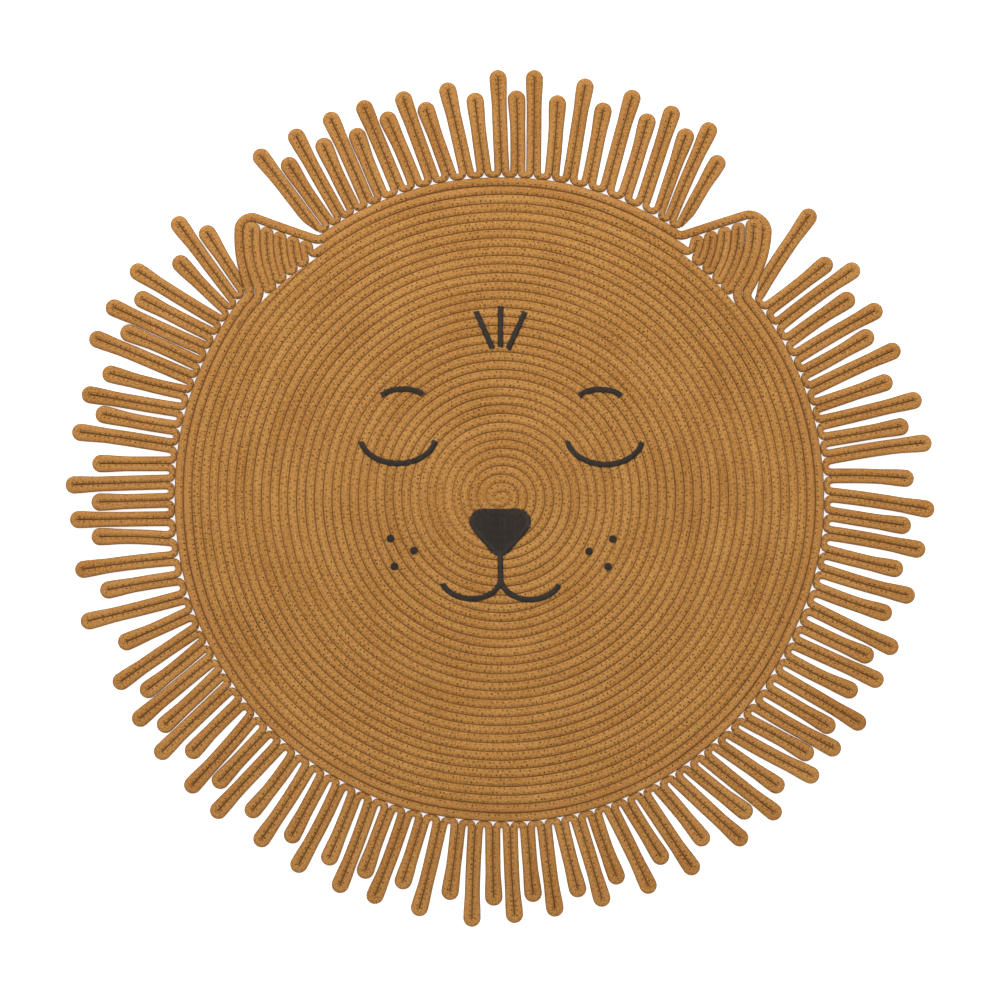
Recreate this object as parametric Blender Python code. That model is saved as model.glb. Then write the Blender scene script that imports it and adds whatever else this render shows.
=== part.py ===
"""A round rug in the shape of a lion's head, about 0.99 m across.

It is made of braided cotton cord. One cord is sewn side by side into a flat coil. Its two
outer turns leave the coil at each ear: the last one runs round the ear, and the one before
it fills the ear in hairpins. The mane is a second and a third cord, looped in and out along
the rim, with each loop sewn down its middle into a double strand.
The rug lies flat on z = 0, with the ears toward +Y. Sizes are in metres.
"""

import math
import random

import bmesh
import bpy
from mathutils import Vector

# Cord
PITCH = 0.0100  # from one turn of the coil to the next
CORD_HIGH = 0.0090
CORD_GAP = 0.0003  # left between cords that are sewn side by side
CORD_HALF = (PITCH - CORD_GAP) / 2
CORD_BACK_HALF = 0.0026  # the cord's back is narrower than its foot
GROOVE_HIGH = 0.0055  # the rug's height where two turns meet

# Coil
COIL_TURNS = 37
LOOSE_TURNS = 2  # the outer turns, which form the ears
CORD_CUT = 0.0011  # left where one loose turn ends and the next turn in starts
COIL_END_DEG = 145.5  # where the cord ends at the rim, counterclockwise from +X
STEPS_PER_TURN = 48
LEAST_STEP_DEG = 0.4  # two of a turn's points are never closer than this

# Ears
EAR_MID_DEG = {"right": 47.0, "left": 133.2}
EAR_BASE_HALF_DEG = 8.4
EAR_CORNER_REACH = 0.4560  # from the rug's middle to where the ear's sides would meet
EAR_TIP_ROUND = 0.0167
EAR_BASE_ROUND = 0.0120
OUTER_LEAD_DEG = 1.7  # the rim is straight for this long beside an ear's outer corner
INNER_LEAD_DEG = 2.2  # and beside its inner corner
FILL_RUNS = 10
FILL_PITCH = 0.0073  # the cord is squeezed in the ear
FILL_GAP = 0.0004
FILL_HALF = (FILL_PITCH - FILL_GAP) / 2
FILL_RISE_ROUND = 0.0150
FILL_EXIT_ROUND = 0.0046
FILL_EXIT_HALF = 0.0041
FILL_TIP_CLEAR = 0.0010  # the first hairpin stays this far below the tip's arc

# Mane
STRAND_RUN = 0.0051  # from a double strand's middle to each of its two runs, at its tip
STRAND_HALF = 0.0047  # half the width of one run there
ROOT_SHARE = 0.91  # a strand is this much narrower at its root, or less where roots crowd
STRAND_GAP = 0.0004  # least space between two strands
CROWDED_RISE = 0.43  # from the rim to a crowded strand's root, as a share of the spacing
BEND_GAP = 0.0005  # from the rim to the bends between strands
LEAN_SHARE = 0.6  # each of two strands that touch leans away by this share of the overlap
TIP_ARC_POINTS = 5
BEND_ARC_POINTS = 4
BEND_REACH_SHARE = math.cos(math.pi / 2 / (BEND_ARC_POINTS - 1))  # of a true arc's reach
LEAN_UNEVEN_DEG = 0.12
REACH_UNEVEN = 0.0010
CORD_END_RISE = 0.0160  # the mane cords' own ends stop this far above the other roots

ROOTS_ROUND = (  # strand number, root_deg
    (1, 142.6),
    (3, 146.6),
    (4, 148.7),
    (6, 153.4),
    (9, 161.5),
    (16, 183.6),
    (20, 197.3),
    (22, 203.5),
    (26, 214.9),
    (31, 231.2),
    (41, 262.5),
    (46, 277.4),
    (52, 295.5),
    (60, 321.0),
    (65, 337.0),
    (74, 367.1),
    (81, 388.6),
    (84, 397.9),
)
ROOTS_TOP = (  # strand number, root_deg
    (1, 56.5),
    (3, 61.2),
    (8, 78.0),
    (10, 84.4),
    (12, 89.9),
    (19, 111.7),
    (22, 119.6),
    (24, 124.4),
)
LEAN_ROUND = (  # root_deg, lean_deg: how far the tips stand to the side of their roots
    (142, -4.3),
    (145, -4.3),
    (148, -0.8),
    (153, 0.6),
    (159, -0.2),
    (162, 1.1),
    (165, 1.3),
    (168, 0.4),
    (171, 0.2),
    (174, 0.9),
    (178, 1.0),
    (181, 0.0),
    (187, -1.6),
    (191, -0.6),
    (197, -0.8),
    (200, 0.4),
    (203, 2.3),
    (215, 2.0),
    (218, 1.2),
    (221, 1.5),
    (225, 0.3),
    (228, -0.2),
    (234, 0.6),
    (247, 0.6),
    (253, -0.6),
    (259, -0.8),
    (263, 0.4),
    (269, 0.6),
    (278, 0.1),
    (281, 0.8),
    (287, 0.6),
    (290, 1.5),
    (299, 1.9),
    (302, 3.3),
    (311, 2.2),
    (315, 3.8),
    (318, 2.6),
    (324, 0.4),
    (331, 0.6),
    (337, -0.2),
    (340, -1.3),
    (344, -0.2),
    (357, -1.0),
    (360, -2.0),
    (364, -0.9),
    (367, 0.4),
    (370, -0.2),
    (377, 0.4),
    (380, 1.3),
    (392, 0.8),
    (395, 0.1),
    (398, 4.5),
)
LEAN_TOP = (  # root_deg, lean_deg
    (56, 0.5),
    (59, 2.0),
    (62, 2.0),
    (68, 0.9),
    (78, 0.4),
    (84, 1.1),
    (90, 0.5),
    (96, 1.3),
    (99, 2.0),
    (102, 1.2),
    (105, 1.4),
    (109, 0.7),
    (112, 0.6),
    (114, -0.5),
    (120, -0.1),
    (122, 0.7),
    (125, 0.4),
)
REACH_ROUND = (  # root_deg, long strands' reach, short strands' reach from the middle
    (142, 0.494, 0.462),
    (148, 0.498, 0.464),
    (151, 0.501, 0.481),
    (156, 0.504, 0.475),
    (160, 0.503, 0.477),
    (165, 0.494, 0.475),
    (177, 0.498, 0.469),
    (184, 0.494, 0.469),
    (190, 0.494, 0.470),
    (197, 0.501, 0.471),
    (203, 0.492, 0.467),
    (212, 0.495, 0.473),
    (218, 0.493, 0.466),
    (228, 0.492, 0.466),
    (234, 0.486, 0.464),
    (243, 0.490, 0.465),
    (256, 0.486, 0.462),
    (266, 0.492, 0.467),
    (272, 0.486, 0.465),
    (283, 0.483, 0.465),
    (292, 0.484, 0.459),
    (305, 0.486, 0.464),
    (321, 0.485, 0.464),
    (327, 0.493, 0.466),
    (334, 0.486, 0.464),
    (354, 0.489, 0.468),
    (360, 0.494, 0.470),
    (367, 0.495, 0.474),
    (373, 0.494, 0.470),
    (379, 0.488, 0.465),
    (386, 0.486, 0.466),
    (398, 0.486, 0.466),
)
REACH_TOP = (  # root_deg, long strands' reach, short strands' reach from the middle
    (56, 0.492, 0.464),
    (61, 0.491, 0.474),
    (68, 0.491, 0.471),
    (76, 0.491, 0.467),
    (84, 0.490, 0.466),
    (90, 0.488, 0.465),
    (96, 0.478, 0.463),
    (102, 0.479, 0.460),
    (108, 0.481, 0.461),
    (112, 0.483, 0.456),
    (117, 0.485, 0.461),
    (125, 0.486, 0.462),
)

COTTON = (0.47, 0.26, 0.07, 1.0)
COTTON_ROUGHNESS = 0.9


# --- Lines and places on the rug ---


def polar(degrees, radius):
    """The place at this angle and distance from the rug's middle."""
    angle = math.radians(degrees)
    return Vector((math.cos(angle), math.sin(angle))) * radius


def angle_of(point):
    return math.degrees(math.atan2(point.y, point.x)) % 360


def interpolate(table, at, column=1):
    """A column's value between the rows of a table that is sorted by its first column."""
    for low, high in zip(table, table[1:]):
        if at <= high[0]:
            share = max(0.0, (at - low[0]) / (high[0] - low[0]))
            return low[column] + share * (high[column] - low[column])
    return table[-1][column]


def turn_radius(turn, degrees):
    """From the rug's middle to the middle line of a turn. The coil winds inward as the
    angle grows, by one pitch a turn, from the cord's end at the rim."""
    return PITCH * (turn - (degrees - COIL_END_DEG) % 360 / 360)


def rim_radius(degrees):
    return turn_radius(COIL_TURNS, degrees) + CORD_HALF


def meet_circle(point, way, radius):
    """Where a line that runs outward along way crosses a circle round the rug's middle."""
    along = point.dot(way)
    return point + way * (math.sqrt(along**2 - point.length_squared + radius**2) - along)


def meet_turn(point, way, turn):
    """Where a line that runs outward along way crosses a turn of the coil."""
    place = meet_circle(point, way, PITCH * turn)
    return meet_circle(point, way, turn_radius(turn, angle_of(place)))


def meet_line(point, way, other, other_way):
    return point + way * ((other - point).cross(other_way) / way.cross(other_way))


def arc_centre(before, corner, after, radius):
    """The centre of the arc that rounds a corner."""
    back, ahead = (before - corner).normalized(), (after - corner).normalized()
    return corner + (back + ahead).normalized() * (radius / math.sin(back.angle(ahead) / 2))


def rounded(knots, most_turn_deg=32.0):
    """A cord's path as (place, half width), from knots of (place, half width, round). A
    knot with a round is a corner, and the width changes along its arc."""
    path = [knots[0][:2]]
    for (before, wide_in, _), (corner, wide, radius), (after, wide_out, _) in zip(
        knots, knots[1:], knots[2:]
    ):
        if not radius:
            path.append((corner, wide))
            continue
        centre = arc_centre(before, corner, after, radius)
        way_in, way_out = (corner - before).normalized(), (after - corner).normalized()
        first = before + way_in * (centre - before).dot(way_in) - centre
        turn = way_in.angle(way_out)
        parts = max(2, math.ceil(math.degrees(turn) / most_turn_deg))
        for part in range(parts + 1):
            share = part / parts
            place = first * math.cos(turn * share) + way_in * radius * math.sin(turn * share)
            path.append((centre + place, wide_in + (wide_out - wide_in) * share))
    path.append(knots[-1][:2])
    return path


def bend(centre, side, out, points):
    """Places along a half turn, from centre + side, past centre + out, to centre - side."""
    angles = [math.pi * k / (points - 1) for k in range(points)]
    return [centre + side * math.cos(a) + out * math.sin(a) for a in angles]


# --- The two loose turns and the ears ---


def ear_corners(ear):
    """The corners of an ear's outline: on the outermost turn at the side away from the
    other ear, at the tip, and on the outermost turn at the side toward the other ear."""
    mid = EAR_MID_DEG[ear]
    half = EAR_BASE_HALF_DEG if ear == "left" else -EAR_BASE_HALF_DEG
    ends = [polar(at, turn_radius(COIL_TURNS, at)) for at in (mid + half, mid - half)]
    return ends[0], polar(mid, EAR_CORNER_REACH), ends[1]


def ear_outline(ear):
    """Knots of the outermost turn round an ear."""
    rounds = EAR_BASE_ROUND, EAR_TIP_ROUND, EAR_BASE_ROUND
    return [(corner, CORD_HALF, radius) for corner, radius in zip(ear_corners(ear), rounds)]


def ear_filling(ear):
    """Knots of the last turn but one through an ear: up beside the outline, then back and
    forth between the outline and the coil, and out at the side toward the other ear."""
    outer, top, inner = ear_corners(ear)
    up = (top - outer).normalized()
    roof_way = (top - inner).normalized()
    across = (inner - outer - up * (inner - outer).dot(up)).normalized()
    inward = (outer - inner - roof_way * (outer - inner).dot(roof_way)).normalized()
    bend_radius = FILL_PITCH / 2
    clear = CORD_HALF + CORD_GAP + FILL_HALF
    roof = inner + inward * (clear + bend_radius)
    tip = arc_centre(outer, top, inner, EAR_TIP_ROUND)
    floor = turn_radius(COIL_TURNS - LOOSE_TURNS, EAR_MID_DEG[ear]) + 2 * CORD_GAP
    row = COIL_TURNS - 1

    def run(number):
        return outer + across * (clear + number * FILL_PITCH)

    knots = [(meet_turn(run(0), up, row), CORD_HALF, FILL_RISE_ROUND)]
    for number in range(FILL_RUNS - 1):
        middle = run(number + 0.5)
        if number % 2 == 0:
            beside_tip = middle + up * ((tip - middle).dot(up) - FILL_TIP_CLEAR)
            places = meet_line(middle, up, roof, roof_way), beside_tip
            centre, out = min(places, key=lambda place: place.dot(up)), up
        else:
            centre, out = meet_circle(middle, up, floor + clear + bend_radius), -up
        side = -across * bend_radius
        places = bend(centre, side, out * bend_radius, BEND_ARC_POINTS)
        knots += [(place, FILL_HALF, 0) for place in places]
    return knots + [(meet_turn(run(FILL_RUNS - 1), up, row), FILL_HALF, FILL_EXIT_ROUND)]


def along_rim(turn, start, end, half_start=CORD_HALF, half_end=CORD_HALF):
    """Knots of a turn between two angles, on the same radial lines as the coil's points."""
    step = 360 / STEPS_PER_TURN
    numbers = range(math.ceil((start - COIL_END_DEG) / step), STEPS_PER_TURN + 1)
    stops = [COIL_END_DEG + n * step for n in numbers]
    inside = [at for at in stops if start + LEAST_STEP_DEG < at < end - LEAST_STEP_DEG]
    halves = [half_start, *(CORD_HALF for _ in inside), half_end]
    return [
        (polar(at, turn_radius(turn, at)), half, 0)
        for at, half in zip([start, *inside, end], halves)
    ]


def loose_turn(turn):
    """The path of one of the two outer turns, counterclockwise from the cord's end."""
    ear_knots = ear_outline if turn == COIL_TURNS else ear_filling
    right, left = ear_knots("right"), ear_knots("left")[::-1]
    exit_half = CORD_HALF if turn == COIL_TURNS else FILL_EXIT_HALF
    cut = math.degrees(CORD_CUT / (PITCH * turn))
    enter_right, leave_right = (angle_of(right[n][0]) + 360 for n in (0, -1))
    enter_left, leave_left = (angle_of(left[n][0]) + 360 for n in (0, -1))
    knots = along_rim(turn, COIL_END_DEG + 1e-6, enter_right - OUTER_LEAD_DEG)
    knots += right
    knots += along_rim(
        turn, leave_right + INNER_LEAD_DEG, enter_left - INNER_LEAD_DEG, exit_half, exit_half
    )
    knots += left
    knots += along_rim(turn, leave_left + OUTER_LEAD_DEG, COIL_END_DEG + 360 - cut)
    return rounded(knots)


# --- The mane ---


class Strand:
    """One double strand of the mane, before the cord's path is laid through it."""

    def __init__(self, root_deg, spacing, lean_deg, reach):
        self.root_deg = root_deg
        self.spacing = spacing
        rise = min(2 * STRAND_HALF, CROWDED_RISE * spacing)
        self.root = polar(root_deg, rim_radius(root_deg) + rise)
        self.tip_radius = reach - STRAND_RUN - STRAND_HALF
        self.lean(lean_deg)

    def lean(self, degrees):
        self.lean_deg = degrees
        self.tip = polar(self.root_deg + degrees, self.tip_radius)
        self.way = (self.tip - self.root).normalized()
        self.left = Vector((-self.way.y, self.way.x))
        room = self.spacing * self.way.dot(self.root.normalized()) - STRAND_GAP
        squeeze = min(ROOT_SHARE, room / (2 * (STRAND_RUN + STRAND_HALF)))
        self.run, self.half = STRAND_RUN * squeeze, STRAND_HALF * squeeze

    def overlap(self, tip):
        """How far another strand's tip is inside this strand, with the least gap."""
        way = self.tip - self.root
        share = min(1.0, max(0.0, (tip - self.root).dot(way) / way.length_squared))
        tip_wide, root_wide = STRAND_RUN + STRAND_HALF, self.run + self.half
        wide = root_wide + (tip_wide - root_wide) * share
        return tip_wide + wide + STRAND_GAP - (tip - self.root - way * share).length


def keep_apart(strands, rounds=90):
    """Leans neighbours away from each other until none overlap."""
    for _ in range(rounds):
        for one, other in zip(strands, strands[1:]):
            short_by = max(one.overlap(other.tip), other.overlap(one.tip))
            if short_by > 0:
                shift = math.degrees(short_by / one.tip_radius) * LEAN_SHARE
                one.lean(one.lean_deg - shift)
                other.lean(other.lean_deg + shift)


def mane_strands(roots, leans, reaches, seed):
    uneven = random.Random(seed)
    root_degs = [interpolate(roots, n) for n in range(1, roots[-1][0] + 1)]
    strands = []
    for number, root_deg in enumerate(root_degs):
        beside = root_degs[max(number - 1, 0) : number + 2]
        step = min(after - before for before, after in zip(beside, beside[1:]))
        spacing = math.radians(step) * (rim_radius(root_deg) + 2 * STRAND_HALF)
        lean = interpolate(leans, root_deg) + uneven.uniform(-1, 1) * LEAN_UNEVEN_DEG
        reach = interpolate(reaches, root_deg, 1 if number % 2 else 2)
        reach += uneven.uniform(-1, 1) * REACH_UNEVEN
        strands.append(Strand(root_deg, spacing, lean, reach))
    keep_apart(strands)
    return strands


def mane_path(strands):
    """A cord's path, counterclockwise: out along one run of each strand, round its tip and
    back, and round a bend that rests against the rim, to the next strand."""
    path = []
    for number, strand in enumerate(strands):
        ends = []
        for side, beside in ((-1, number - 1), (1, number + 1)):
            line = strand.root + strand.left * side * strand.run
            if 0 <= beside < len(strands):
                other = strands[beside]
                middle_deg = (strand.root_deg + other.root_deg) / 2
                spacing = (strand.root - other.root).length
                bend_radius = (spacing - strand.run - other.run) / 2
                reach = (bend_radius + max(strand.half, other.half)) * BEND_REACH_SHARE
                foot = rim_radius(middle_deg) + BEND_GAP + reach
            else:
                foot = rim_radius(strand.root_deg) + CORD_END_RISE
            ends.append(meet_circle(line, strand.way, foot))
        side, out = -strand.left * STRAND_RUN, strand.way * STRAND_RUN
        tip = bend(strand.tip, side, out, TIP_ARC_POINTS)
        if path:
            last = path[-1][0]
            centre = (last + ends[0]) / 2
            down = -centre.normalized() * (last - centre).length
            across = bend(centre, last - centre, down, BEND_ARC_POINTS)[1:-1]
            path += [(place, strand.half) for place in across]
        tip_halves = [STRAND_HALF for _ in tip]
        halves = strand.half, *tip_halves, strand.half
        path += zip((ends[0], *tip, ends[1]), halves)
    return path


# --- Solids ---


def cotton_material():
    material = bpy.data.materials.new("cotton cord")
    material.use_nodes = True
    shader = material.node_tree.nodes["Principled BSDF"]
    shader.inputs["Base Color"].default_value = COTTON
    shader.inputs["Roughness"].default_value = COTTON_ROUGHNESS
    material.diffuse_color = COTTON
    return material


def finish(name, mesh, parts, material):
    mesh.materials.append(material)
    solid = bpy.data.objects.new(name, mesh)
    parts.objects.link(solid)
    return solid


def cord_profile(guides):
    """The cord's section: a flat foot on the floor and a narrower back."""
    outline = bpy.data.curves.new("cord section", "CURVE")
    spline = outline.splines.new("POLY")
    corners = (
        (-CORD_HALF, 0),
        (CORD_HALF, 0),
        (CORD_BACK_HALF, CORD_HIGH),
        (-CORD_BACK_HALF, CORD_HIGH),
    )
    spline.points.add(len(corners) - 1)
    for knot, (x, y) in zip(spline.points, corners):
        knot.co = (x, y, 0, 1)
    spline.use_cyclic_u = True
    guide = bpy.data.objects.new("cord section", outline)
    guide.hide_render = True
    guide.display_type = "WIRE"
    guides.objects.link(guide)
    return guide


def lay_cord(name, path, section, parts, material):
    """A cord along a path on the floor. Where it is squeezed it is as high as elsewhere."""
    curve = bpy.data.curves.new(name, "CURVE")
    curve.dimensions = "3D"
    curve.twist_mode = "Z_UP"
    curve.bevel_mode = "OBJECT"
    curve.bevel_object = section
    curve.use_fill_caps = True
    spline = curve.splines.new("POLY")
    spline.points.add(len(path) - 1)
    for knot, (place, half) in zip(spline.points, path):
        knot.co = (place.x, place.y, 0, 1)
        knot.radius = half / CORD_HALF
    laid = bpy.data.objects.new(name + " path", curve)
    parts.objects.link(laid)
    bpy.context.view_layer.update()
    graph = bpy.context.evaluated_depsgraph_get()
    mesh = bpy.data.meshes.new_from_object(laid.evaluated_get(graph))
    bpy.data.objects.remove(laid)
    mesh.name = name
    work = bmesh.new()
    work.from_mesh(mesh)
    bmesh.ops.remove_doubles(work, verts=work.verts, dist=1e-6)
    for vert in work.verts:
        vert.co.z = CORD_HIGH if vert.co.z > CORD_HIGH / 4 else 0.0
    bmesh.ops.recalc_face_normals(work, faces=work.faces)
    work.to_mesh(mesh)
    work.free()
    mesh.materials.clear()
    return finish(name, mesh, parts, material)


def coil_disc(parts, material):
    """The coil's inner turns: a ribbed slab with a flat foot. A radial section is spun
    once round and drawn inward by one pitch on the way, so that each turn's end meets the
    start of the next turn in, and the ribs run in one spiral."""
    turns = COIL_TURNS - LOOSE_TURNS
    work = bmesh.new()
    section = []
    for turn in range(1, turns + 1):
        section.append(work.verts.new((PITCH * turn, 0, CORD_HIGH)))
        section.append(work.verts.new((PITCH * turn + CORD_HALF, 0, GROOVE_HIGH)))
    section.append(work.verts.new((PITCH * turns + CORD_HALF, 0, 0)))
    edges = [work.edges.new(pair) for pair in zip(section, section[1:])]
    bmesh.ops.spin(
        work,
        geom=section + edges,
        axis=(0, 0, 1),
        cent=(0, 0, 0),
        angle=math.tau,
        steps=STEPS_PER_TURN,
        use_merge=False,
    )
    work.verts.ensure_lookup_table()
    for number, vert in enumerate(work.verts):
        step = number // len(section)
        radius = vert.co.xy.length - PITCH * step / STEPS_PER_TURN
        place = polar(COIL_END_DEG + 360 * step / STEPS_PER_TURN, radius)
        vert.co.xy = place
    bmesh.ops.remove_doubles(work, verts=work.verts, dist=1e-5)
    foot = [vert for vert in work.verts if vert.co.z == 0]
    work.edges.new(ends_of_open_line(foot))
    bmesh.ops.holes_fill(work, edges=[e for e in work.edges if e.is_boundary or e.is_wire])
    bmesh.ops.recalc_face_normals(work, faces=work.faces)
    mesh = bpy.data.meshes.new("coil_disc")
    work.to_mesh(mesh)
    work.free()
    return finish("coil_disc", mesh, parts, material)


def ends_of_open_line(verts):
    """The two end points of a line of points on the floor: the longest and the shortest
    from the rug's middle."""
    return min(verts, key=lambda v: v.co.xy.length), max(verts, key=lambda v: v.co.xy.length)


def new_collection(name):
    made = bpy.data.collections.new(name)
    bpy.context.scene.collection.children.link(made)
    return made


for old in list(bpy.data.objects):
    bpy.data.objects.remove(old)
rug = new_collection("Lion rug")
guides = new_collection("Guides")
cotton = cotton_material()
section = cord_profile(guides)
coil_disc(rug, cotton)
lay_cord("ear_outlines_turn", loose_turn(COIL_TURNS), section, rug, cotton)
lay_cord("ear_fillings_turn", loose_turn(COIL_TURNS - 1), section, rug, cotton)
round_strands = mane_strands(ROOTS_ROUND, LEAN_ROUND, REACH_ROUND, seed=4)
top_strands = mane_strands(ROOTS_TOP, LEAN_TOP, REACH_TOP, seed=9)
lay_cord("mane_round", mane_path(round_strands), section, rug, cotton)
lay_cord("mane_top", mane_path(top_strands), section, rug, cotton)
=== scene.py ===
"""Looks of a round rug in the shape of a lion's head, about 0.99 m across.

It is sewn from caramel cotton cord: a flat coil, whose two outer turns form the ears, and
two more cords looped along the rim as the mane. A face is embroidered in black on the coil.
The rug lies flat on z = 0 with the ears toward +Y. Metres.
"""

import math
import random

import bmesh
import bpy
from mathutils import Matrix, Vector, noise


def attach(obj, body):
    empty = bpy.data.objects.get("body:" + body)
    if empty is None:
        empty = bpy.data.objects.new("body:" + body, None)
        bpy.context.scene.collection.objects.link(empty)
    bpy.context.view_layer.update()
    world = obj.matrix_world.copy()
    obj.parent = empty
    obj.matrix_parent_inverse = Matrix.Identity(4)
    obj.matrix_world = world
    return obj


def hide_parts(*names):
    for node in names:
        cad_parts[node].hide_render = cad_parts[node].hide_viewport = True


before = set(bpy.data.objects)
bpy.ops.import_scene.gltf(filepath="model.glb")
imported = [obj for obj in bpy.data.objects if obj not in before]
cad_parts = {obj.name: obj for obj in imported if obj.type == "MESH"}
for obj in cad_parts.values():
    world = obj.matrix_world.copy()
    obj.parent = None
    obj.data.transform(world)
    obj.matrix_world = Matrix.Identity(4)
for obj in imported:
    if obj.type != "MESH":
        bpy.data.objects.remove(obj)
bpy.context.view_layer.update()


# --- Coil ---
# The rug's body: some 39 m of round cotton cord, braided over a cotton filling, wound side
# by side from the middle outward, and joined turn to turn by a zigzag stitch from the back,
# whose needle holes show on the face as two rows of dots along each turn.

PITCH = 0.0100  # from one turn to the next
CORD_HIGH = 0.0090
CORD_HALF = 0.0052  # neighbours are pressed together
CORD_SQUARENESS = 2.5  # 2 is an ellipse, and a cord that is sewn down tightly is squarer
CORD_FOOT_HALF = 0.0030  # half the width of the flat underneath
SECTION_DEG = (180, 156, 132, 110, 90, 70, 48, 24, 0)  # from the left side over the back
BACK_POINT = 4  # the number of the section's highest point
TAPERED_HALF = 0.0030  # where a cord's end is thinner than this, it is lower too
COIL_TURNS = 37
LOOSE_TURNS = 2  # the outer turns, which form the ears
COIL_END_DEG = 145.5  # where the outer turns start and end, counterclockwise from +X
RISE_DEG = (125.5, 142.5)  # under the left ear the turns climb out by one pitch here
RISE_TIP_HALF = 0.0012  # and the coil's outer end starts this thin there
RISE_STEP_DEG = 2
RING_SPACING = 0.0095  # between two rings of a cord's mesh
MOST_RING_DEG = 8.0
MIDDLE_RADIUS = 0.0048  # where the first turn starts
MIDDLE_FOLD = ((0.0052, 0.0012), (0.0024, 0.0014), (0.0, 0.0006), (-0.0046, 0.0002))  # x, y
MIDDLE_STRETCH = 0.0020  # the middle of the coil is drawn out sideways into an oval
MIDDLE_CROSSING = (0.0035, 0.6)  # from one side of it to the other: least, share of radius
MIDDLE_ASIDE = 0.0018
MIDDLE_PRESSED = 0.07  # its first turns are pressed wider by this share
MIDDLE_PRESSED_TO = 0.030
MIDDLE_REACH = 0.110
WANDER_SLOW = 0.0006  # how far turns that are laid by hand stray from the spiral
WANDER_FAST = 0.0004
DRAWN_IN = 0.0012  # the rim is pulled in by this much at the bottom
DRAWN_IN_DEG = 273
DRAWN_IN_OVER = (0.05, 0.36)  # from no pull to full, going outward
THICKNESS_UNEVEN = 0.022
THICKNESS_PER_METRE = 28  # thicker and thinner lengths of cord, some 4 cm each
EVEN_END = 0.030  # the cord is even this near its ends, where the next turn goes on
HOLE_SPACING = 0.0060
HOLE_WANDER = 0.50  # along the cord, as a share of the spacing
HOLE_ROW = 0.0024  # from the middle of the cord's back to each row of needle holes
HOLE_ROW_WANDER = 0.0014
HOLE_ROUND = 0.00045  # to the edge of a hole's deepest part, where its painted shade is darkest
HOLE_FADE = 0.0009
HOLE_FAINTEST = 0.3
STITCH_SLANT = 1.1  # how far along the cord a stitch runs for each metre round it
STITCH_HALF = 0.00035
STITCH_CLEAR = 0.0003  # from a hole's middle to where its thread comes out
# how strongly the painted highlight along a stitch's thread shows
STITCH_SHOWS = 0.35
PLAIT_WIDE = 0.0017  # one plait of the braid, round the cord. Real ones are finer
PLAIT_LONG = 0.0024
PLAIT_SLANT = 0.9
FUZZ_PER_METRE = 560.0  # tufts of lint some 1.8 mm across, coarser than real, so they show
CLOUDS_PER_METRE = 11.0  # lighter and darker patches some 9 cm across
DYE_PER_METRE = 7.0  # lighter and darker lengths of cord, some 14 cm each
GROOVE_SHADE_FROM = 0.0025  # how far round from its back the cord starts to darken with painted shade
GROOVE_SHADE_TO = 0.0070
GROOVE_SHADE_MOST = 0.72

CORD_TONE = -0.99  # from dark, at 0, to light, at 1, before the patterns are added
CORD_LIGHT = "C48F4F"
CORD_LIGHT_COIL = "C6924F"
CORD_DARK = "8B520F"
# painted shade, darkest in the grooves between cords
GROOVE_PAINTED_SHADE = "693D09"
# painted highlight along the zigzag thread, which is the cord's own colour
STITCH_PAINTED_HIGHLIGHT = "BC8A46"
# painted shade in the needle holes
HOLE_PAINTED_SHADE = "43260A"
LINT_SHEEN = "E8C79A"


def polar(degrees, radius):
    """The place at this angle and distance from the rug's middle."""
    angle = math.radians(degrees)
    return Vector((math.cos(angle), math.sin(angle))) * radius


def angle_of(point):
    return math.degrees(math.atan2(point.y, point.x)) % 360


def smooth_step(low, high, value):
    share = min(1.0, max(0.0, (value - low) / (high - low)))
    return share * share * (3 - 2 * share)


def rise(degrees):
    """The share of a pitch by which the rim has climbed out under the left ear."""
    start, end = RISE_DEG
    under = start < degrees % 360 < COIL_END_DEG
    return min(1.0, (degrees % 360 - start) / (end - start)) if under else 0.0


def turn_radius(turn, degrees):
    """From the rug's middle to the middle line of an outer turn. It winds inward as the
    angle grows, by one pitch a turn, and under the left ear out again."""
    return PITCH * (turn - (degrees - COIL_END_DEG) % 360 / 360 + rise(degrees))


def hand_laid(place):
    """Where a place on the drawn spiral lies on the sewn rug: all turns wander a little
    together, the lower rim is drawn in, and the middle is oval."""
    x, y = place
    radius = place.length
    moved = place.copy()
    slow_x, slow_y = math.sin(17 * y + 1.1), math.sin(15 * x + 2.3)
    fast_x, fast_y = math.sin(29 * x + 31 * y), math.sin(33 * x - 23 * y + 0.7)
    moved.x += WANDER_SLOW * slow_x + WANDER_FAST * fast_x
    moved.y += WANDER_SLOW * slow_y + WANDER_FAST * fast_y
    if radius > 1e-6:
        low = max(0.0, math.cos(math.radians(angle_of(place) - DRAWN_IN_DEG)))
        moved -= place / radius * DRAWN_IN * low * smooth_step(*DRAWN_IN_OVER, radius)
    near = 1 - smooth_step(0, MIDDLE_REACH, radius)
    least, share = MIDDLE_CROSSING
    side = math.tanh(x / max(least, share * radius))
    moved.x += near * (MIDDLE_STRETCH * side - MIDDLE_ASIDE)
    return moved


def section_points():
    """The cord's section: points over the back, and three on the flat foot."""
    power = 2 / CORD_SQUARENESS
    half_high = CORD_HIGH / 2
    points = []
    for degrees in SECTION_DEG:
        angle = math.radians(degrees)
        across = math.copysign(abs(math.cos(angle)) ** power, math.cos(angle))
        up = math.sin(angle) ** power
        points.append((CORD_HALF * across, half_high + half_high * up))
    return points + [(CORD_FOOT_HALF, 0.0), (0.0, 0.0), (-CORD_FOOT_HALF, 0.0)]


SECTION = section_points()


def cord_section():
    outline = bpy.data.curves.new("cord_section", "CURVE")
    spline = outline.splines.new("POLY")
    spline.points.add(len(SECTION) - 1)
    for knot, (x, y) in zip(spline.points, SECTION):
        knot.co = (x, y, 0, 1)
    spline.use_cyclic_u = True
    return bpy.data.objects.new("cord_section", outline)


section_guide = cord_section()


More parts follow.
